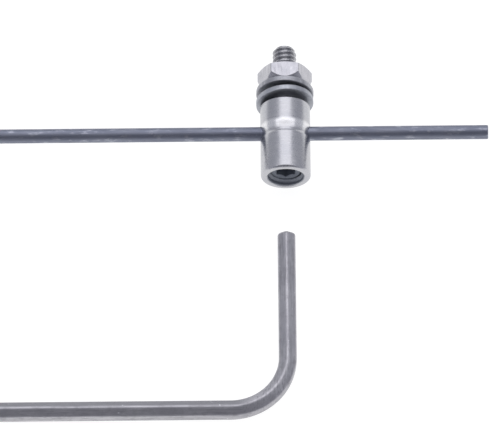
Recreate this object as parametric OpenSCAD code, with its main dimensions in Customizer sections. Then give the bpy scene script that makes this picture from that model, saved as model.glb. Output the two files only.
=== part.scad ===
// Push-rod connector set: a turned barrel with a threaded stud, its nut and washers,
// a wire push rod held by a grub screw, and the hex key that turns the grub screw.
// The stud's axis is Y, the push rod runs along X, and the origin is the tip of the stud.
// Heights along the stud are measured from the barrel's shoulder, positive towards the tip.

/* [Barrel] */
// Outer diameter of the barrel
barrel_d = 4.2; // [3.9:0.1:4.5]
// Length of the barrel from its shoulder to its open mouth
barrel_l = 6.65; // [6.5:0.05:7.5]
// Radius of the rounded outer edge at the mouth
mouth_round = 0.25; // [0.1:0.05:0.3]
// Bevel around the shoulder
shoulder_bevel = 0.08; // [0.04:0.02:0.14]
// Depth of the waist that is turned where the push rod passes through
waist_depth = 0.15; // [0.05:0.05:0.2]
// Nominal diameter of the grub screw's thread in the barrel
screw_d = 3; // [2.9:0.05:3.1]
// Diameter that the thread is cut from
core_d = 2.5; // [2.4:0.05:2.6]
// Width of the countersink around the mouth of the thread
countersink_d = 3.25; // [3.15:0.05:3.4]

/* [Stud] */
// Outer diameter of the stud's thread
stud_d = 2; // [1.9:0.05:2.1]
// Length of the stud above the shoulder
stud_l = 5.55; // [5.1:0.05:6]
// Pitch of the stud's thread
stud_pitch = 0.4; // [0.35:0.05:0.45]

/* [Nut and washers] */
// Width of the nut across its flats
nut_af = 4; // [3.9:0.1:4.2]
// Thickness of the nut
nut_h = 1.55; // [1.3:0.05:1.6]
// Height of the nut's underside above the shoulder
nut_lift = 1.85; // [1.85:0.05:2.1]
// Outer diameter of both washers
washer_d = 4.85; // [4.5:0.05:5]
// Diameter of the hole in both washers
washer_hole_d = 2.3; // [2.2:0.05:2.4]
// Thickness of both washers
washer_t = 0.5; // [0.3:0.05:0.5]
// Lean of the loose lower washer
lower_lean = 7.5; // [5:0.5:7.5]
// Lean of the loose upper washer
upper_lean = 6.2; // [4:0.2:6.2]

/* [Push rod] */
// Diameter of the push rod
rod_d = 1.2; // [1:0.05:1.2]
// Reach of the push rod's short side beyond the barrel's axis
rod_short = 17.1; // [10:0.1:30]
// Reach of the push rod's long side beyond the barrel's axis
rod_long = 43; // [30:1:120]
// Distance from the shoulder to the push rod's axis
rod_drop = 2.48; // [2.45:0.01:2.5]

/* [Grub screw and key] */
// Length of the grub screw
screw_l = 3; // [2.5:0.1:3.2]
// Width of the hex socket across its flats
socket_af = 1.55; // [1.53:0.01:1.6]
// Depth of the hex socket
socket_depth = 1.4; // [1:0.1:1.6]
// Width of the key across its flats
key_af = 1.5; // [1.45:0.01:1.5]
// Distance from the barrel's mouth to the tip of the key
key_gap = 5.35; // [2:0.05:10]
// Distance from the tip of the key to the centre of its long arm
key_short = 16.3; // [12:0.1:20]
// Distance from the short arm's axis to the end of the long arm
key_long = 45; // [30:1:60]
// Radius of the key's bend at the middle of the bar
key_bend_r = 4.8; // [3:0.1:6]

/* [Hidden] */
$fn = 96;
running_gap = 0.04;
rod_hole_d = rod_d + 0.1;
stud_crest_w = stud_pitch / 8;
stud_root_w = stud_pitch / 4;
stud_depth = 0.61 * stud_pitch;
stud_tip_bevel = 0.16;
stud_turns = floor((stud_l - stud_tip_bevel) / stud_pitch);
waist_top = rod_drop - 0.6;
waist_low = rod_drop + 0.55;
waist_end = rod_drop + 0.72;
bore_l = barrel_l - rod_drop + 0.3;
thread_l = barrel_l - rod_drop - rod_d / 2;
nut_hole_d = stud_d + 2 * running_gap;
nut_seat_r = 1.85;
nut_top_r = 2;
nut_top_bevel = 0.14;
washer_bevel = 0.06;
lower_turn = 27;
upper_turn = -5;
upper_mid = 1.385;
seat_gap = 0.02;
screw_pitch = 0.5;
screw_top = rod_drop + rod_d / 2 + running_gap;
screw_r = screw_d / 2 - running_gap;
screw_depth = 0.24;
screw_turns = floor(screw_l / screw_pitch);
cup_d = 1.4;
cup_h = 0.35;
key_tip_bevel = 0.12;
key_corner_d = key_af / cos(30);
bend_overlap = 0.02;
overlap = 1;

// Stands a turned piece on the shoulder, with its axis along the stud
module on_shoulder() translate([0, -stud_l, 0]) rotate([-90, 0, 0]) children();

// Outline of one ridge of a thread, from the foot of the ridge to the next one
function ridge(r, depth, foot, pitch) = [
    [r - depth, foot],
    [r - depth, foot + pitch / 8],
    [r, foot + pitch * 7 / 16],
    [r, foot + pitch * 9 / 16],
    [r - depth, foot + pitch * 7 / 8],
];

// Outline of a row of ridges, bottom to top
function ridges(r, depth, foot, pitch, count) =
    [for (i = [0:count - 1]) each ridge(r, depth, foot + i * pitch, pitch)];

// Outline of the rounded edge at the mouth, from the end face to the wall
function mouth_edge() = [
    for (a = [-90:15:0])
        [barrel_d / 2 - mouth_round + mouth_round * cos(a), mouth_round - barrel_l + mouth_round * sin(a)]
];

// Outline of the waist, the shoulder and the threaded stud
module barrel_outline() polygon(concat(
    [[0, -barrel_l]],
    mouth_edge(),
    [
        [barrel_d / 2, -waist_end],
        [barrel_d / 2 - waist_depth, -waist_low],
        [barrel_d / 2, -waist_top],
        [barrel_d / 2, -shoulder_bevel],
        [barrel_d / 2 - shoulder_bevel, 0],
    ],
    ridges(stud_d / 2, stud_depth, 0, stud_pitch, stud_turns),
    [
        [stud_d / 2 - stud_depth, stud_turns * stud_pitch],
        [stud_d / 2 - stud_tip_bevel / 2, stud_l - stud_tip_bevel],
        [stud_d / 2 - stud_tip_bevel, stud_l],
        [0, stud_l],
    ]
));

// Threaded bore, its countersink and the hole for the push rod
module barrel_holes() {
    translate([0, 0, -barrel_l - overlap]) cylinder(d = core_d, h = bore_l + overlap);
    translate([0, 0, -barrel_l - overlap]) cylinder(d = screw_d, h = thread_l + overlap);
    translate([0, 0, -barrel_l])
        cylinder(d1 = countersink_d, d2 = screw_d, h = (countersink_d - screw_d) / 2);
    translate([0, 0, -rod_drop]) rotate([0, 90, 0])
        cylinder(d = rod_hole_d, h = barrel_d + 2 * overlap, center = true);
}

module barrel() color("gainsboro") on_shoulder() difference() {
    rotate_extrude() barrel_outline();
    barrel_holes();
}

// Envelope that bevels the nut's corners, steeply below and lightly above
module nut_envelope() {
    corner_r = nut_af / 2 / cos(30) + 0.01;
    foot = corner_r - nut_seat_r;
    rotate_extrude() polygon([
        [0, 0],
        [nut_seat_r, 0],
        [corner_r, foot],
        [corner_r, nut_h - nut_top_bevel],
        [nut_top_r, nut_h],
        [0, nut_h],
    ]);
}

module nut() color("silver") on_shoulder() translate([0, 0, nut_lift]) difference() {
    intersection() {
        cylinder(d = nut_af / cos(30), h = nut_h, $fn = 6);
        nut_envelope();
    }
    translate([0, 0, -overlap]) cylinder(d = nut_hole_d, h = nut_h + 2 * overlap);
}

// Flat ring with beveled outer edges, centred on its own middle
module washer() rotate_extrude() polygon([
    [washer_hole_d / 2, -washer_t / 2],
    [washer_d / 2 - washer_bevel, -washer_t / 2],
    [washer_d / 2, -washer_t / 2 + washer_bevel],
    [washer_d / 2, washer_t / 2 - washer_bevel],
    [washer_d / 2 - washer_bevel, washer_t / 2],
    [washer_hole_d / 2, washer_t / 2],
]);

// Hangs under the nut, leaning with its low edge to one side
module upper_washer() color("lightslategray") on_shoulder()
    translate([0, 0, upper_mid]) rotate([0, 0, upper_turn]) rotate([-upper_lean, 0, 0]) washer();

// Rests on the shoulder's rim at one side and leans up from there
module lower_washer() color("slategray") on_shoulder()
    rotate([0, 0, lower_turn]) translate([0, barrel_d / 2, seat_gap]) rotate([-lower_lean, 0, 0])
        translate([0, -barrel_d / 2, washer_t / 2]) washer();

module push_rod() color("dimgray") translate([-rod_long, -stud_l - rod_drop, 0]) rotate([0, 90, 0])
    cylinder(d = rod_d, h = rod_long + rod_short);

// Threaded body of the grub screw, its end bevelled at the socket and at the cup
module screw_outline() polygon(concat(
    [[0, -screw_top - screw_l], [screw_r - screw_depth, -screw_top - screw_l]],
    ridges(screw_r, screw_depth, -screw_top - screw_l, screw_pitch, screw_turns),
    [[screw_r - screw_depth, -screw_top], [0, -screw_top]]
));

module set_screw() color("darkslategray") on_shoulder() difference() {
    rotate_extrude() screw_outline();
    translate([0, 0, -screw_top - screw_l - overlap]) rotate([0, 0, 30])
        cylinder(d = socket_af / cos(30), h = socket_depth + overlap, $fn = 6);
    translate([0, 0, -screw_top - cup_h]) cylinder(d1 = 0, d2 = cup_d, h = cup_h);
}

// Hexagonal section of the key, with its corners at top and bottom
module key_section() rotate(30) circle(d = key_corner_d, $fn = 6);

// Straight hex bar along Z with its lower end bevelled
module key_bar(length) intersection() {
    linear_extrude(length) key_section();
    union() {
        cylinder(d1 = key_corner_d - 2 * key_tip_bevel, d2 = key_corner_d + 0.02, h = key_tip_bevel);
        translate([0, 0, key_tip_bevel]) cylinder(d = key_corner_d + 0.02, h = length);
    }
}

module hex_key() color("slategray") translate([0, -stud_l - barrel_l - key_gap, 0]) {
    bend_y = key_bend_r - key_short;
    rotate([90, 0, 0]) key_bar(bend_overlap - bend_y);
    translate([-key_bend_r, bend_y, 0]) rotate([0, 0, -90])
        rotate_extrude(angle = 90) translate([key_bend_r, 0]) key_section();
    translate([-key_long, -key_short, 0]) rotate([0, 90, 0]) rotate([0, 0, 90])
        key_bar(key_long - key_bend_r + bend_overlap);
}

barrel();
nut();
upper_washer();
lower_washer();
push_rod();
set_screw();
hex_key();
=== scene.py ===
import math
import random

import bmesh
import bpy
from mathutils import Matrix, Vector


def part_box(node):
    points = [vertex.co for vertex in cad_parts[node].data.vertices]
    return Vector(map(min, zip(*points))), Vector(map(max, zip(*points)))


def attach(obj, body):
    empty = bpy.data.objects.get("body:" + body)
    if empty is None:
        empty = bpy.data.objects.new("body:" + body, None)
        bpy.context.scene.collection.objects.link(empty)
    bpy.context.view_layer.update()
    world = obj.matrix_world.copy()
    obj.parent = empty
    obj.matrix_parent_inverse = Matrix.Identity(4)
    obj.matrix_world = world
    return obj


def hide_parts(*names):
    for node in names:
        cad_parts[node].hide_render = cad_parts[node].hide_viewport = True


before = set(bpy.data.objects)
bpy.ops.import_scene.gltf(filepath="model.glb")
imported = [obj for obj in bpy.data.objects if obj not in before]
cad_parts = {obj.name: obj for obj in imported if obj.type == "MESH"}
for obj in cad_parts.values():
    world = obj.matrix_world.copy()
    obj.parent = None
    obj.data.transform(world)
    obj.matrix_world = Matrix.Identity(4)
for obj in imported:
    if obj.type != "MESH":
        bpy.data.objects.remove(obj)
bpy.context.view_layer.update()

random.seed(11)

# Lengths below are in millimetres until a mesh is made. h is the height above the barrel's
# shoulder, positive towards the stud's tip, and the stud's axis is the frame's Y axis.
MM = 0.001


def box_mm(node):
    """The low and high corner of a CAD node's box, in millimetres."""
    lo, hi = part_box(node)
    return Vector(lo) / MM, Vector(hi) / MM


barrel_lo, barrel_hi = box_mm("barrel")
nut_lo, nut_hi = box_mm("nut")
rod_lo, rod_hi = box_mm("push_rod")
screw_lo, screw_hi = box_mm("set_screw")
key_lo, key_hi = box_mm("hex_key")
key_tip_y = key_hi.y

# Barrel and stud
BARREL_R = (barrel_hi.x - barrel_lo.x) / 2
STUD_R = 1.0
STUD_L = 5.55
STUD_PITCH = 0.4
STUD_ROOT_R = 0.77
STUD_TIP_BEVEL = 0.16
STUD_PHASE = 0.3
SHOULDER_Y = barrel_hi.y - STUD_L
BARREL_L = SHOULDER_Y - barrel_lo.y
SHOULDER_BEVEL = 0.08
MOUTH_ROUND = 0.25
WAIST_DEPTH = 0.15
ROD_R = (rod_hi.y - rod_lo.y) / 2
ROD_Y = (rod_hi.y + rod_lo.y) / 2
ROD_H = ROD_Y - SHOULDER_Y
WAIST_TOP, WAIST_LOW, WAIST_END = ROD_H + 0.6, ROD_H - 0.42, ROD_H - 0.74
ROD_HOLE_R = ROD_R + 0.05
CORE_R = 1.25
BORE_R = 1.5
COUNTERSINK_R = 1.625
BORE_TOP = ROD_H + 0.3

# Nut and washers
NUT_AF = nut_hi.z - nut_lo.z
NUT_H = nut_hi.y - nut_lo.y
NUT_FOOT = nut_lo.y - SHOULDER_Y
NUT_SEAT_R = 1.85
NUT_FLAT_FOOT = 0.13
NUT_ARC_STEEP = 1.55
NUT_TOP_R = 2.0
NUT_TOP_BEVEL = 0.14
NUT_HOLE_R = 1.045
NUT_GROOVE_R = 1.17
WASHER_R = 2.425
WASHER_HOLE_R = 1.15
WASHER_T = 0.5
WASHER_SEAT_GAP = 0.02
LOWER_LEAN, LOWER_TURN = math.radians(7.5), math.radians(27)
UPPER_LEAN, UPPER_TURN = math.radians(6.2), math.radians(-5)
UPPER_MID = 1.385

# Grub screw. Its thread lies in the gaps of the bore's thread at rest and at whole turns only.
SCREW_R = 1.46
SCREW_ROOT_R = 1.24
SCREW_PITCH = 0.5
SOCKET_AF = 1.55
SOCKET_DEPTH = 1.4
SCREW_END_R = 1.2
CUP_R = 0.7
CUP_DEPTH = 0.35
SCREW_PHASE = 0.46
BORE_PHASE = 0.1

# Key
KEY_AF = 1.5
KEY_BEND_R = 4.8
KEY_TIP_BEVEL = 0.12
KEY_SHORT = 16.3

# Softness of a hexagon's corners: higher is sharper
NUT_SHARPNESS = 130
SOCKET_SHARPNESS = 150
KEY_SHARPNESS = 10

# How finely the meshes are divided
BARREL_SIDES = 128
WASHER_SIDES = 112
SCREW_SIDES = 108
ROD_SIDES = 64
ROD_STATIONS = 120
HOLE_SIDES = 64
KEY_LEG_STATIONS = 24
KEY_BEND_STATIONS = 32
KEY_ARM_STATIONS = 80
NUT_THREAD_ROWS = 48
THREAD_ROWS = 12
THREAD_FLAT = 0.16
CORNER_STEPS = (0, 0.5, 1.1, 1.8, 2.7, 3.9, 5.5, 8, 12, 17, 23)
MERGE_MM = 0.0006


def smooth(t):
    """Eases t from 0 to 1."""
    t = min(max(t, 0.0), 1.0)
    return t * t * (3 - 2 * t)


def hexagon(across, sharpness, turn=0.0):
    """Radius, by angle, of a hexagon with soft corners. Its first flat faces the angle turn."""
    def radius(a):
        total = sum(max(math.cos(a - turn - k * math.pi / 3), 0.0) ** sharpness for k in range(6))
        return across / 2 / total ** (1 / sharpness)
    return radius


def even_angles(count):
    return [2 * math.pi * k / count for k in range(count)]


def corner_angles(turn=0.0):
    """Angles that crowd at a hexagon's corners, where turn is the angle of a flat."""
    steps = [math.radians(v) for v in CORNER_STEPS]
    angles = []
    for k in range(6):
        corner = turn + math.pi / 6 + k * math.pi / 3
        angles += [corner + v for v in steps] + [corner + math.pi / 6]
        angles += [corner + math.pi / 3 - v for v in reversed(steps[1:])]
    return angles


class Skin:
    """Rings of vertices around the stud's axis, and the faces between them."""

    def __init__(self, angles):
        self.angles = angles
        self.verts = []
        self.faces = []

    def place(self, r, a, h):
        return (r * math.cos(a), SHOULDER_Y + h, -r * math.sin(a))

    def ring(self, r, h):
        """A ring whose radius and height are numbers or functions of the angle."""
        start = len(self.verts)
        for a in self.angles:
            radius = r(a) if callable(r) else r
            height = h(a) if callable(h) else h
            self.verts.append(self.place(radius, a, height))
        return list(range(start, len(self.verts)))

    def bridge(self, low, high):
        n = len(low)
        for k in range(n):
            m = (k + 1) % n
            self.faces.append((low[k], low[m], high[m], high[k]))

    def rows(self, profile, last=None):
        """Rings for each (r, h) of a profile, joined in order. Returns the last ring."""
        for r, h in profile:
            ring = self.ring(r, h)
            if last is not None:
                self.bridge(last, ring)
            last = ring
        return last

    def cap(self, ring, h):
        """Closes a ring with a fan at height h on the axis."""
        centre = len(self.verts)
        self.verts.append((0, SHOULDER_Y + h, 0))
        n = len(ring)
        for k in range(n):
            self.faces.append((ring[k], ring[(k + 1) % n], centre))

    def thread(self, foot, crest, low, high, pitch, fade, phase=0.0, limit=None):
        """A right-hand helical ridge from radius foot to radius crest, between two plain rings.

        fade is the length over which the ridge grows at either end, and limit(h) is the
        largest radius at a height. Returns the rings at the low and the high end.
        """
        n = len(self.angles)
        per = THREAD_ROWS
        step = pitch / per
        first = -per
        last = math.ceil((high - low) / step)
        index = {}
        for i in range(first, last + 1):
            turn = ((i / per + phase) % 1.0)
            rise = min(abs(turn - 0.5) * 2, 1.0)
            rise = smooth((1 - rise - THREAD_FLAT) / (1 - 2 * THREAD_FLAT))
            for j in range(n):
                h = low + (i + per * j / n) * step
                h = min(max(h, low), high)
                grow = smooth((h - low) / fade) * smooth((high - h) / fade)
                r = foot + (crest - foot) * rise * grow
                if limit:
                    r = min(r, limit(h))
                index[i, j] = len(self.verts)
                self.verts.append(self.place(r, self.angles[j], h))

        def vertex(i, j):
            return index[min(i + per, last), 0] if j == n else index[i, j]

        for i in range(first, last):
            for j in range(n):
                self.faces.append(
                    (vertex(i, j), vertex(i, j + 1), vertex(i + 1, j + 1), vertex(i + 1, j))
                )
        return [index[first, j] for j in range(n)], [index[last, j] for j in range(n)]

    def make(self, name, sharp=35):
        return make_mesh(name, self.verts, self.faces, sharp)


def make_mesh(name, verts, faces, sharp=35):
    """A mesh object in metres from vertices in millimetres, its normals outward."""
    mesh = bpy.data.meshes.new(name)
    mesh.from_pydata(verts, [], faces)
    bm = bmesh.new()
    bm.from_mesh(mesh)
    bmesh.ops.remove_doubles(bm, verts=bm.verts, dist=MERGE_MM)
    bmesh.ops.recalc_face_normals(bm, faces=bm.faces)
    bmesh.ops.scale(bm, vec=(MM, MM, MM), verts=bm.verts)
    bm.to_mesh(mesh)
    bm.free()
    obj = bpy.data.objects.new(name, mesh)
    bpy.context.collection.objects.link(obj)
    finish_shading(obj, sharp)
    return obj


def finish_shading(obj, sharp):
    obj.data.shade_smooth()
    obj.data.set_sharp_from_angle(angle=math.radians(sharp))


def arc(cx, cy, radius, start, end, count):
    """Points of an arc, in degrees, for a profile."""
    return [
        (cx + radius * math.cos(math.radians(start + (end - start) * k / count)),
         cy + radius * math.sin(math.radians(start + (end - start) * k / count)))
        for k in range(count + 1)
    ]


# ---------------------------------------------------------------- meshes

def stud_limit(h):
    """The stud's bevelled tip."""
    return min(STUD_R, STUD_R - STUD_TIP_BEVEL + (STUD_L - h))


def build_barrel():
    skin = Skin(even_angles(BARREL_SIDES))
    foot, tip = skin.thread(
        STUD_ROOT_R, STUD_R, 0.12, STUD_L - 0.06, STUD_PITCH, 0.3, STUD_PHASE, stud_limit)
    tip = skin.rows([(STUD_ROOT_R - 0.03, STUD_L - 0.015), (STUD_ROOT_R - 0.07, STUD_L)], tip)
    skin.cap(skin.rows([(STUD_ROOT_R * 0.5, STUD_L)], tip), STUD_L)
    edge = BARREL_R - MOUTH_ROUND
    wall = [(STUD_ROOT_R + 0.03, 0.03), (STUD_ROOT_R + 0.1, 0)]
    wall += [(BARREL_R - SHOULDER_BEVEL - 0.02, 0)]
    wall += arc(BARREL_R - SHOULDER_BEVEL, -SHOULDER_BEVEL, SHOULDER_BEVEL, 90, 0, 4)
    wall += [(BARREL_R, -0.6), (BARREL_R, WAIST_TOP + 0.05)]
    wall += [(BARREL_R - WAIST_DEPTH * smooth(t / 8), WAIST_TOP + (WAIST_LOW - WAIST_TOP) * t / 8)
             for t in range(1, 9)]
    wall += [(BARREL_R - WAIST_DEPTH * (1 - smooth(t / 4)),
              WAIST_LOW + (WAIST_END - WAIST_LOW) * t / 4)
             for t in range(1, 5)]
    wall += [(BARREL_R, WAIST_END - 0.8 * k) for k in range(1, 4)]
    wall += arc(edge, MOUTH_ROUND - BARREL_L, MOUTH_ROUND, 0, -90, 8)
    wall += [(COUNTERSINK_R + 0.03, -BARREL_L), (COUNTERSINK_R, -BARREL_L + 0.02),
             (BORE_R + 0.01, -BARREL_L + 0.12)]
    mouth = skin.rows(wall, foot)
    low, high = skin.thread(BORE_R, CORE_R + 0.02, -BARREL_L + 0.2, ROD_H - ROD_R - 0.1,
                            SCREW_PITCH, 0.35, BORE_PHASE)
    skin.bridge(mouth, low)
    top = skin.rows([(CORE_R, ROD_H - ROD_R), (CORE_R, BORE_TOP)], high)
    skin.cap(top, BORE_TOP + 0.12)
    barrel = skin.make("turned_barrel")

    hole = bmesh.new()
    across = Matrix.Translation((0, ROD_Y * MM, 0)) @ Matrix.Rotation(math.pi / 2, 4, "Y")
    bmesh.ops.create_cone(hole, cap_ends=True, segments=HOLE_SIDES, radius1=ROD_HOLE_R * MM,
                          radius2=ROD_HOLE_R * MM, depth=3 * BARREL_R * MM, matrix=across)
    cutter_mesh = bpy.data.meshes.new("cutter")
    hole.to_mesh(cutter_mesh)
    hole.free()
    cutter = bpy.data.objects.new("cutter", cutter_mesh)
    bpy.context.collection.objects.link(cutter)
    cut = barrel.modifiers.new("cross_hole", "BOOLEAN")
    cut.operation = "DIFFERENCE"
    cut.solver = "EXACT"
    cut.object = cutter
    apply_modifiers(barrel)
    bpy.data.objects.remove(cutter)
    finish_shading(barrel, 35)
    return barrel


def apply_modifiers(obj):
    """Puts an object's modifiers into its mesh."""
    bpy.context.view_layer.update()
    shaped = obj.evaluated_get(bpy.context.evaluated_depsgraph_get())
    mesh = bpy.data.meshes.new_from_object(shaped)
    obj.modifiers.clear()
    obj.data = mesh


def build_nut():
    side = hexagon(NUT_AF, NUT_SHARPNESS, math.pi / 2)
    skin = Skin(corner_angles(math.pi / 2))
    foot, top = NUT_FOOT, NUT_FOOT + NUT_H
    corner_r = NUT_AF / 2 / math.cos(math.pi / 6)
    slope = NUT_TOP_BEVEL / (corner_r - NUT_TOP_R)
    soft = 0.03

    def low_edge(a):
        return foot + NUT_FLAT_FOOT + (side(a) - NUT_AF / 2) * NUT_ARC_STEEP

    def high_edge(a):
        return top - max(side(a) - NUT_TOP_R, 0) * slope - 0.5 * soft

    outside = [
        (NUT_HOLE_R + 0.1, foot),
        (NUT_SEAT_R - soft, foot),
        (NUT_SEAT_R, foot + 0.012),
        (lambda a: side(a) - 1.4 * soft, lambda a: low_edge(a) - 1.2 * soft),
        (lambda a: side(a) - 0.5 * soft, lambda a: low_edge(a) + 0.4 * soft),
        (lambda a: side(a) - 0.12 * soft, lambda a: low_edge(a) + 1.6 * soft),
        (side, lambda a: low_edge(a) + 3.2 * soft),
        (side, lambda a: (low_edge(a) + high_edge(a)) / 2),
        (side, lambda a: high_edge(a) - soft),
        (lambda a: side(a) - 0.3 * soft, lambda a: high_edge(a)),
        (lambda a: min(side(a) - soft, NUT_TOP_R),
         lambda a: max(high_edge(a) + 0.3 * soft, top - 0.3 * soft)),
        (NUT_TOP_R - 2.2 * soft, top),
        (NUT_HOLE_R + 0.1, top),
        (NUT_HOLE_R + 0.02, top - 0.08),
    ]
    first = skin.ring(NUT_HOLE_R + 0.02, foot + 0.08)
    last = skin.rows(outside, first)
    inner = last
    for k in range(1, NUT_THREAD_ROWS):
        h = top - 0.08 - (NUT_H - 0.16) * k / NUT_THREAD_ROWS

        def groove(a, h=h):
            turn = (h / STUD_PITCH - a / (2 * math.pi) + STUD_PHASE) % 1.0
            rise = smooth(1.6 * (1 - abs(turn - 0.5) * 2))
            return NUT_HOLE_R + (NUT_GROOVE_R - NUT_HOLE_R) * rise

        ring = skin.ring(groove, h)
        skin.bridge(inner, ring)
        inner = ring
    skin.bridge(inner, first)
    return skin.make("hex_nut", 28)


def build_washer(name):
    """A stamped washer: the upper face rolled over at its rim, the lower with a sharper edge."""
    skin = Skin(even_angles(WASHER_SIDES))
    half = WASHER_T / 2
    roll, edge = 0.13, 0.045
    wobble = [random.uniform(0, 2 * math.pi) for _ in range(3)]

    def rim(a):
        waves = sum(math.sin((k + 2) * a + w) for k, w in enumerate(wobble))
        return WASHER_R - 0.006 * (1.5 + waves / 2)

    def out(r_in, h):
        return (lambda a: rim(a) - r_in, h)

    section = []
    for v in range(0, 91, 15):
        v = math.radians(v)
        section.append(out(roll - roll * math.sin(v), -half + roll - roll * math.cos(v)))
    for v in range(0, 91, 30):
        v = math.radians(v)
        section.append(out(edge - edge * math.cos(v), half - edge + edge * math.sin(v)))
    section += [(WASHER_HOLE_R + 0.06, half), (WASHER_HOLE_R + 0.015, half - 0.02),
                (WASHER_HOLE_R, half - 0.07), (WASHER_HOLE_R, -half + 0.05),
                (WASHER_HOLE_R + 0.04, -half)]
    section = [(r, -h) for r, h in section]
    first = skin.ring(*section[0])
    last = skin.rows(section[1:], first)
    skin.bridge(last, first)
    shift = Matrix.Translation((0, -SHOULDER_Y, 0))
    verts = [shift @ Vector(v) for v in skin.verts]
    return name, verts, skin.faces


def about_stud(turn, lean, before, after):
    """Turns a washer made round Y: lean about X at the pivot, then turn about the stud."""
    return (Matrix.Translation((0, SHOULDER_Y, 0)) @ Matrix.Rotation(turn, 4, "Y")
            @ Matrix.Translation(after) @ Matrix.Rotation(-lean, 4, "X")
            @ Matrix.Translation(before))


def place_washer(parts, matrix):
    name, verts, faces = parts
    return make_mesh(name, [tuple(matrix @ v) for v in verts], faces, 40)


def build_washers():
    lower = place_washer(
        build_washer("lower_ring"),
        about_stud(LOWER_TURN, LOWER_LEAN,
                   (0, WASHER_T / 2, BARREL_R), (0, WASHER_SEAT_GAP, -BARREL_R)))
    upper = place_washer(
        build_washer("upper_ring"),
        about_stud(UPPER_TURN, UPPER_LEAN, (0, 0, 0), (0, UPPER_MID, 0)))
    return upper, lower


def build_screw():
    foot, top = screw_lo.y - SHOULDER_Y, screw_hi.y - SHOULDER_Y
    skin = Skin(even_angles(SCREW_SIDES))
    low, high = skin.thread(SCREW_ROOT_R, SCREW_R, foot + 0.1, top - 0.05, SCREW_PITCH, 0.3,
                            SCREW_PHASE)
    cup = skin.rows([(SCREW_ROOT_R - 0.1, top - 0.02), (CUP_R + 0.12, top), (CUP_R, top - 0.03),
                     (CUP_R * 0.5, top - CUP_DEPTH * 0.6)], high)
    skin.cap(cup, top - CUP_DEPTH)
    hex_r = hexagon(SOCKET_AF, SOCKET_SHARPNESS, 0.0)
    lead_r = SOCKET_AF / 2 / math.cos(math.pi / 6) + 0.03

    def lead(a):
        return foot + 0.01 + (lead_r - hex_r(a)) * 0.8

    socket = skin.rows([
        (SCREW_END_R, foot + 0.02), (SCREW_END_R - 0.05, foot),
        (lead_r + 0.02, foot), (lead_r, foot + 0.01),
        (hex_r, lead), (hex_r, lambda a: lead(a) + 0.03), (hex_r, foot + SOCKET_DEPTH * 0.6),
        (hex_r, foot + SOCKET_DEPTH - 0.02), (lambda a: hex_r(a) * 0.97, foot + SOCKET_DEPTH)], low)
    skin.cap(socket, foot + SOCKET_DEPTH + 0.2)
    return skin.make("grub_screw", 35)


def build_rod():
    """Drawn wire along X, its ends cut square with a worn bevel."""
    bevel = 0.09
    end = [(0.0, 0.0), (0.0, ROD_R - bevel), (0.012, ROD_R - bevel * 0.5),
           (0.05, ROD_R - 0.012), (0.12, ROD_R)]
    stations = [(rod_lo.x + d, r) for d, r in end]
    length = rod_hi.x - rod_lo.x
    for k in range(1, ROD_STATIONS):
        x = rod_lo.x + 0.12 + (length - 0.24) * k / ROD_STATIONS
        stations.append((x, ROD_R - random.uniform(0, 0.0015)))
    stations += [(rod_hi.x - d, r) for d, r in reversed(end)]
    sides = ROD_SIDES
    verts, faces = [], []
    for x, r in stations:
        for k in range(sides):
            a = 2 * math.pi * k / sides
            verts.append((x, ROD_Y + r * math.sin(a), r * math.cos(a)))
    for s in range(len(stations) - 1):
        for k in range(sides):
            m = (k + 1) % sides
            faces.append((s * sides + k, s * sides + m,
                          (s + 1) * sides + m, (s + 1) * sides + k))
    return make_mesh("drawn_wire_rod", verts, faces, 30)


def build_key():
    """Hexagonal bar swept down the short arm, round the bend and along the long arm."""
    angles = corner_angles(0.0)
    section = hexagon(KEY_AF, KEY_SHARPNESS, 0.0)
    bend_y = key_tip_y - KEY_SHORT + KEY_BEND_R
    stations = []
    tip = [(0.0, 0.35), (0.0, 0.80), (0.015, 0.845), (0.05, 0.885),
           (KEY_TIP_BEVEL, 0.955), (0.2, 1.0)]
    for d, s in tip:
        stations.append((Vector((0, key_tip_y - d, 0)), Vector((1, 0, 0)), s))
    straight = key_tip_y - 0.2 - bend_y
    for k in range(1, KEY_LEG_STATIONS):
        y = key_tip_y - 0.2 - straight * k / KEY_LEG_STATIONS
        stations.append((Vector((0, y, 0)), Vector((1, 0, 0)), 1.0))
    for k in range(KEY_BEND_STATIONS + 1):
        a = math.pi / 2 * k / KEY_BEND_STATIONS
        centre = Vector((-KEY_BEND_R, bend_y, 0))
        out = Vector((math.cos(a), -math.sin(a), 0))
        stations.append((centre + out * KEY_BEND_R, out, 1.0))
    end_x = key_lo.x
    run = -KEY_BEND_R - end_x - 0.2
    arm_y = key_tip_y - KEY_SHORT
    for k in range(1, KEY_ARM_STATIONS):
        x = -KEY_BEND_R - run * k / KEY_ARM_STATIONS
        stations.append((Vector((x, arm_y, 0)), Vector((0, -1, 0)), 1.0))
    for d, s in reversed(tip):
        stations.append((Vector((end_x + d, arm_y, 0)), Vector((0, -1, 0)), s))
    verts, faces = [], []
    n = len(angles)
    for centre, out, scale in stations:
        for a in angles:
            r = section(a) * scale
            verts.append(tuple(centre + out * r * math.cos(a)
                               + Vector((0, 0, 1)) * r * math.sin(a)))
    for s in range(len(stations) - 1):
        for k in range(n):
            m = (k + 1) % n
            faces.append((s * n + k, s * n + m, (s + 1) * n + m, (s + 1) * n + k))
    for s, x in ((0, stations[0][0]), (len(stations) - 1, stations[-1][0])):
        centre = len(verts)
        verts.append(tuple(x))
        for k in range(n):
            faces.append((s * n + k, s * n + (k + 1) % n, centre))
    return make_mesh("hex_key_bar", verts, faces, 22)


# ---------------------------------------------------------------- materials

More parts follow.
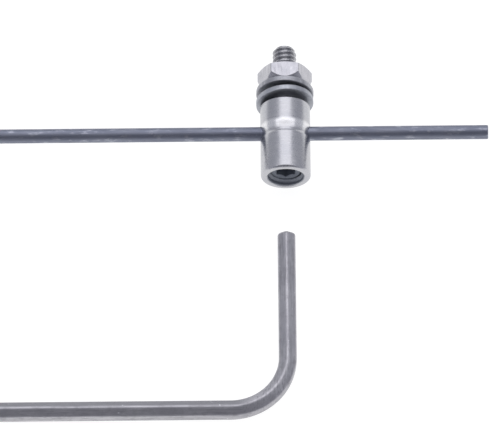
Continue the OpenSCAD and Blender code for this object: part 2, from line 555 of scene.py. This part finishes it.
class Graph:
    """A node material, built up one node at a time."""

    def __init__(self, name):
        self.material = bpy.data.materials.new(name)
        self.material.use_nodes = True
        self.tree = self.material.node_tree
        self.tree.nodes.clear()
        self.place = self.add("ShaderNodeTexCoord").outputs["Object"]

    def add(self, kind, settings=None, **sockets):
        node = self.tree.nodes.new(kind)
        for key, value in (settings or {}).items():
            setattr(node, key, value)
        for key, value in sockets.items():
            numbered = key[0] == "_" and key[1:].isdigit()
            socket = node.inputs[int(key[1:]) if numbered else key.replace("_", " ")]
            if isinstance(value, bpy.types.NodeSocket):
                self.tree.links.new(value, socket)
            else:
                socket.default_value = value
        return node

    def scaled(self, x, y, z):
        """The object's coordinates, stretched to so many cells per millimetre."""
        return self.add("ShaderNodeMapping", Vector=self.place,
                        Scale=(x / MM, y / MM, z / MM)).outputs[0]

    def noise(self, vector, detail=3.0, rough=0.55, distortion=0.0):
        return self.add("ShaderNodeTexNoise", Vector=vector, Scale=1.0, Detail=detail,
                        Roughness=rough, Distortion=distortion).outputs["Fac"]

    def ramp(self, fac, low, high, out_low=0.0, out_high=1.0):
        return self.add("ShaderNodeMapRange", _0=fac, _1=low, _2=high,
                        _3=out_low, _4=out_high).outputs[0]

    def math(self, operation, a, b):
        return self.add("ShaderNodeMath", {"operation": operation}, _0=a, _1=b).outputs[0]

    def mix(self, fac, a, b):
        node = self.add("ShaderNodeMix", {"data_type": "RGBA"})
        for socket, value in zip((node.inputs[0], node.inputs[6], node.inputs[7]), (fac, a, b)):
            if isinstance(value, bpy.types.NodeSocket):
                self.tree.links.new(value, socket)
            else:
                socket.default_value = value
        return node.outputs[2]

    def bump(self, height, strength, distance, normal=None):
        node = self.add("ShaderNodeBump", Height=height, Strength=strength, Distance=distance * MM)
        if normal is not None:
            self.tree.links.new(normal, node.inputs["Normal"])
        return node.outputs[0]

    def metal(self, color, roughness, normal, metallic=1.0):
        shader = self.add("ShaderNodeBsdfPrincipled", Base_Color=color, Roughness=roughness,
                          Metallic=metallic, Normal=normal)
        out = self.add("ShaderNodeOutputMaterial")
        self.tree.links.new(shader.outputs[0], out.inputs[0])
        return self.material


def rgb(r, g, b):
    return (r, g, b, 1.0)


def turned_metal():
    """Satin turned bar: fine turning lines, a painted highlight on the waist, a darker stud and a
    dull bore painted darker as shade.
    """
    g = Graph("turned_silver")
    lines = g.noise(g.scaled(0.06, 16, 0.06), 3, 0.55)
    wide = g.noise(g.scaled(0.1, 3.0, 0.1), 2)
    cloud = g.noise(g.scaled(0.9, 0.5, 0.9), 4)
    grain = g.noise(g.scaled(8, 6, 8), 4, 0.6)
    speck = g.noise(g.scaled(7, 7, 7), 2)
    split = g.add("ShaderNodeSeparateXYZ", Vector=g.place)
    height = split.outputs[1]
    above = g.ramp(height, SHOULDER_Y * MM, (SHOULDER_Y + 0.1) * MM)
    flat = g.add("ShaderNodeCombineXYZ", X=split.outputs[0], Y=0.0,
                 Z=split.outputs[2]).outputs[0]
    radius = g.add("ShaderNodeVectorMath", {"operation": "LENGTH"}, _0=flat).outputs["Value"]
    inside = g.math("MULTIPLY", g.ramp(radius, (BORE_R + 0.1) * MM, (BORE_R + 0.02) * MM),
                    g.ramp(height, (SHOULDER_Y - 0.3) * MM, (SHOULDER_Y - 0.5) * MM))
    color = g.mix(g.ramp(cloud, 0.35, 0.7), rgb(0.49, 0.495, 0.525), rgb(0.55, 0.55, 0.57))
    color = g.mix(g.ramp(lines, 0.56, 0.80, 0, 0.16), color, rgb(0.40, 0.41, 0.45))
    color = g.mix(g.ramp(grain, 0.52, 0.72, 0, 0.30), color, rgb(0.44, 0.44, 0.48))
    color = g.mix(g.ramp(speck, 0.68, 0.76, 0, 0.4), color, rgb(0.36, 0.36, 0.39))
    stud = g.mix(g.ramp(grain, 0.35, 0.65), rgb(0.32, 0.32, 0.34), rgb(0.50, 0.50, 0.52))
    color = g.mix(above, color, stud)
    # Painted shade: inside the bore the colour is made darker, as the recess lies in shadow; the
    # bore is also rougher and less metallic.
    bore = g.mix(g.ramp(grain, 0.35, 0.65), rgb(0.20, 0.215, 0.25), rgb(0.28, 0.30, 0.34))
    color = g.mix(inside, color, bore)
    # Painted highlight: the waist band's colour is raised towards white so the waist shines
    # brighter.
    waist_low, waist_top = SHOULDER_Y + WAIST_LOW, SHOULDER_Y + WAIST_TOP
    waist = g.math("MULTIPLY",
                   g.ramp(height, (waist_low + 0.1) * MM, (waist_low + 0.4) * MM),
                   g.ramp(height, (waist_top + 0.05) * MM, (waist_top - 0.2) * MM))
    color = g.mix(g.math("MULTIPLY", waist, 0.8), color, rgb(0.90, 0.90, 0.91))
    rough = g.math("ADD", g.ramp(lines, 0.3, 0.7, 0.22, 0.30), g.ramp(wide, 0.3, 0.7, -0.03, 0.05))
    rough = g.math("ADD", rough, g.math("MULTIPLY", inside, 0.25))
    rough = g.math("ADD", rough, g.ramp(grain, 0.3, 0.7, -0.02, 0.05))
    normal = g.bump(lines, 0.07, 0.004)
    normal = g.bump(grain, 0.10, 0.006, normal)
    return g.metal(color, rough, normal, g.math("SUBTRACT", 1.0, g.math("MULTIPLY", inside, 0.7)))


def plated_metal(name, light, dark, rough_low, rough_high):
    """Plated steel: cloudy, with rubbed streaks lighter and darker than the rest."""
    g = Graph(name)
    cloud = g.noise(g.scaled(1.1, 1.1, 1.1), 4)
    grain = g.noise(g.scaled(14, 14, 14), 3)
    rub = g.noise(g.scaled(2.5, 0.6, 7), 4, 0.6, 0.4)
    color = g.mix(g.ramp(cloud, 0.35, 0.68), light, dark)
    color = g.mix(g.ramp(rub, 0.55, 0.72, 0, 0.65), color, rgb(0.30, 0.30, 0.33))
    color = g.mix(g.ramp(rub, 0.42, 0.30, 0, 0.45), color, rgb(0.72, 0.72, 0.75))
    rough = g.math("ADD", g.ramp(grain, 0.3, 0.7, rough_low, rough_high),
                   g.ramp(rub, 0.5, 0.75, 0, 0.10))
    normal = g.bump(grain, 0.12, 0.006)
    normal = g.bump(rub, 0.10, 0.012, normal)
    return g.metal(color, rough, normal)


def wire_metal():
    """Drawn steel wire: lengthwise die marks, dull blue-grey skin and rubbed bright patches."""
    g = Graph("drawn_wire_steel")
    streak = g.noise(g.scaled(0.16, 9, 9), 4, 0.65)
    cloud = g.noise(g.scaled(0.35, 1.4, 1.4), 4)
    rubbed = g.noise(g.scaled(0.9, 2.6, 2.6), 4, 0.65)
    pit = g.noise(g.scaled(3.0, 6, 6), 3, 0.6)
    color = g.mix(g.ramp(cloud, 0.35, 0.7), rgb(0.21, 0.225, 0.285), rgb(0.27, 0.285, 0.345))
    color = g.mix(g.ramp(streak, 0.52, 0.72, 0, 0.45), color, rgb(0.15, 0.155, 0.19))
    color = g.mix(g.ramp(rubbed, 0.56, 0.70, 0, 0.7), color, rgb(0.48, 0.50, 0.56))
    color = g.mix(g.ramp(pit, 0.64, 0.74, 0, 0.5), color, rgb(0.12, 0.125, 0.15))
    rough = g.math("ADD", g.ramp(streak, 0.3, 0.7, 0.44, 0.55),
                   g.ramp(rubbed, 0.50, 0.68, 0.02, -0.18))
    normal = g.bump(streak, 0.22, 0.006)
    normal = g.bump(rubbed, 0.20, 0.02, normal)
    normal = g.bump(pit, 0.12, 0.01, normal)
    return g.metal(color, rough, normal)


def screw_metal():
    """Blackened steel, a little worn."""
    g = Graph("blackened_steel")
    cloud = g.noise(g.scaled(1.6, 1.6, 1.6), 4)
    grain = g.noise(g.scaled(10, 10, 10), 3)
    color = g.mix(g.ramp(cloud, 0.35, 0.65), rgb(0.15, 0.165, 0.20), rgb(0.20, 0.22, 0.26))
    color = g.mix(g.ramp(grain, 0.6, 0.75, 0, 0.5), color, rgb(0.20, 0.22, 0.25))
    rough = g.ramp(grain, 0.3, 0.7, 0.50, 0.62)
    return g.metal(color, rough, g.bump(grain, 0.2, 0.01), 0.35)


def key_metal():
    """Hex bar: streaks along both arms, dull patches, an inner side painted darker as shade and
    bright nicks.
    """
    g = Graph("bright_key_steel")
    down = g.noise(g.scaled(8, 0.30, 8), 4, 0.65)
    along = g.noise(g.scaled(0.30, 8, 8), 4, 0.65)
    split = g.add("ShaderNodeSeparateXYZ", Vector=g.place)
    on_long = g.ramp(split.outputs[0], -KEY_BEND_R * 0.6 * MM, -KEY_BEND_R * 0.9 * MM)
    streak = g.add("ShaderNodeMix", _0=on_long, _2=down, _3=along).outputs[0]
    cloud = g.noise(g.scaled(0.45, 0.45, 1.2), 4)
    blotch = g.noise(g.scaled(1.5, 1.5, 2.5), 4, 0.6)
    nick = g.noise(g.scaled(2.0, 2.0, 2.4), 3, 0.6)
    color = g.mix(g.ramp(cloud, 0.35, 0.68), rgb(0.44, 0.435, 0.465), rgb(0.54, 0.535, 0.56))
    # Painted shade: the far, inner half of the long arm is made darker.
    arm_y = (key_tip_y - KEY_SHORT) * MM
    inner = g.math("MULTIPLY", on_long, g.ramp(split.outputs[1], arm_y, arm_y + 0.18 * MM))
    color = g.mix(g.math("MULTIPLY", inner, 0.8), color, rgb(0.29, 0.29, 0.31))
    color = g.mix(g.ramp(streak, 0.48, 0.68, 0, 0.65), color, rgb(0.25, 0.245, 0.27))
    color = g.mix(g.ramp(blotch, 0.50, 0.68, 0, 0.45), color, rgb(0.30, 0.295, 0.315))
    color = g.mix(g.ramp(nick, 0.68, 0.74, 0, 0.8), color, rgb(0.84, 0.84, 0.87))
    rough = g.math("ADD", g.ramp(streak, 0.3, 0.7, 0.36, 0.48), g.ramp(blotch, 0.4, 0.7, 0, 0.08))
    normal = g.bump(streak, 0.28, 0.006)
    normal = g.bump(blotch, 0.16, 0.02, normal)
    normal = g.bump(nick, 0.25, 0.02, normal)
    return g.metal(color, rough, normal)


# ---------------------------------------------------------------- pieces

upper_washer, lower_washer = build_washers()
pieces = [
    (build_barrel(), "barrel", "turned_barrel", turned_metal()),
    (build_nut(), "nut", "plated_nut",
     plated_metal("plated_nut_bright", rgb(0.52, 0.515, 0.55), rgb(0.43, 0.43, 0.465),
                  0.17, 0.29)),
    # Painted shade: the upper washer, under the nut, has a darker copy of the lower washer's
    # plating.
    (upper_washer, "upper_washer", "plated_washer",
     plated_metal("plated_washer_upper_shaded", rgb(0.44, 0.445, 0.475), rgb(0.37, 0.375, 0.405),
                  0.40, 0.55)),
    (lower_washer, "lower_washer", "plated_washer",
     plated_metal("plated_washer_lower", rgb(0.47, 0.485, 0.52), rgb(0.40, 0.415, 0.455),
                  0.40, 0.55)),
    (build_rod(), "push_rod", "drawn_wire", wire_metal()),
    (build_screw(), "set_screw", "black_screw", screw_metal()),
    (build_key(), "hex_key", "key_steel", key_metal()),
]
for piece, node, slot, material in pieces:
    piece.data.materials.clear()
    piece.data.materials.append(material)
    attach(piece, node)
    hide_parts(node)

# ---------------------------------------------------------------- floor, light and camera

# The floor is tilted so that the lower washer, the mouth's edge and the key all lie near it.
# WASHER_TOUCH is the Y and Z of the point under the lower washer, in millimetres.
FLOOR_TILT = math.radians(3.0)
FLOOR_HALF = 1.2
WASHER_TOUCH = (-6.4, -2.44)
FLOOR_GLOW = 0.93
floor_mesh = bpy.data.meshes.new("floor")
floor_rows = 12
grid = [(-FLOOR_HALF + 2 * FLOOR_HALF * i / floor_rows,
         -FLOOR_HALF + 2 * FLOOR_HALF * j / floor_rows, 0)
        for i in range(floor_rows + 1) for j in range(floor_rows + 1)]
quads = [(i * (floor_rows + 1) + j, (i + 1) * (floor_rows + 1) + j,
          (i + 1) * (floor_rows + 1) + j + 1, i * (floor_rows + 1) + j + 1)
         for i in range(floor_rows) for j in range(floor_rows)]
floor_mesh.from_pydata(grid, [], quads)
floor = bpy.data.objects.new("floor", floor_mesh)
bpy.context.collection.objects.link(floor)
floor.matrix_world = (Matrix.Translation((0, WASHER_TOUCH[0] * MM, WASHER_TOUCH[1] * MM))
                      @ Matrix.Rotation(-FLOOR_TILT, 4, "X"))
paper = Graph("pale_paper")
fibre = paper.noise(paper.scaled(0.3, 0.3, 0.3), 3)
paper_color = paper.mix(fibre, rgb(0.22, 0.22, 0.22), rgb(0.18, 0.18, 0.18))
paper_shader = paper.add("ShaderNodeBsdfPrincipled", Base_Color=paper_color, Roughness=0.9,
                         Specular_IOR_Level=0.1, Emission_Color=rgb(1, 1, 1),
                         Emission_Strength=FLOOR_GLOW)
paper_out = paper.add("ShaderNodeOutputMaterial")
paper.tree.links.new(paper_shader.outputs[0], paper_out.inputs[0])
floor_mesh.materials.append(paper.material)


SOFT_BOX_COLOR = (1.0, 0.99, 1.0)


def soft_box(name, direction, distance, width, height, power):
    light = bpy.data.lights.new(name, "AREA")
    light.shape = "RECTANGLE"
    light.size, light.size_y = width, height
    light.energy = power
    light.color = SOFT_BOX_COLOR
    lamp = bpy.data.objects.new(name, light)
    bpy.context.collection.objects.link(lamp)
    aim = Vector((0, SHOULDER_Y * MM, 0))
    lamp.location = aim + Vector(direction).normalized() * distance
    lamp.rotation_euler = (aim - lamp.location).to_track_quat("-Z", "Y").to_euler()


def toward_back(angle):
    """A direction in the plane of the stud's axis, at so many degrees from straight up."""
    return (0, math.sin(math.radians(angle)), math.cos(math.radians(angle)))


soft_box("soft_back", toward_back(46), 0.5, 0.44, 0.51, 0.68)
soft_box("soft_top", toward_back(11), 0.5, 0.92, 0.15, 0.46)

world = bpy.data.worlds.new("studio")
bpy.context.scene.world = world
world.use_nodes = True
tree = world.node_tree
tree.nodes.clear()
where = tree.nodes.new("ShaderNodeTexCoord")
facing = tree.nodes.new("ShaderNodeVectorMath")
facing.operation = "DOT_PRODUCT"
facing.inputs[1].default_value = (0, -0.55, 0.83)
tree.links.new(where.outputs["Generated"], facing.inputs[0])
shade = tree.nodes.new("ShaderNodeValToRGB")
shade.color_ramp.elements[0].position = 0.0
shade.color_ramp.elements[0].color = (0.46, 0.47, 0.52, 1)
shade.color_ramp.elements[1].position = 1.0
shade.color_ramp.elements[1].color = (0.20, 0.20, 0.225, 1)
middle = shade.color_ramp.elements.new(0.55)
middle.color = (0.45, 0.46, 0.515, 1)
tree.links.new(facing.outputs["Value"], shade.inputs[0])
back = tree.nodes.new("ShaderNodeBackground")
tree.links.new(shade.outputs[0], back.inputs[0])
back.inputs[1].default_value = 1.0
world_out = tree.nodes.new("ShaderNodeOutputWorld")
tree.links.new(back.outputs[0], world_out.inputs[0])

CAMERA_RISE = math.radians(63.1)
CAMERA_ROLL = math.radians(-0.53)
CAMERA_DISTANCE = 900
CAMERA_LENS = 787
CAMERA_SENSOR = 36
AIM = Vector((-3.46, -15.33, 0))
camera_data = bpy.data.cameras.new("camera")
camera_data.lens = CAMERA_LENS
camera_data.sensor_width = CAMERA_SENSOR
camera_data.clip_start = 0.01
camera_data.clip_end = 10
camera = bpy.data.objects.new("camera", camera_data)
bpy.context.collection.objects.link(camera)
toward = Vector((0, -math.cos(CAMERA_RISE), math.sin(CAMERA_RISE)))
camera.matrix_world = (Matrix.Translation((AIM + toward * CAMERA_DISTANCE) * MM)
                       @ Matrix.Rotation(math.pi / 2 - CAMERA_RISE, 4, "X")
                       @ Matrix.Rotation(CAMERA_ROLL, 4, "Z"))
bpy.context.scene.camera = camera
bpy.context.scene.view_settings.view_transform = "Standard"
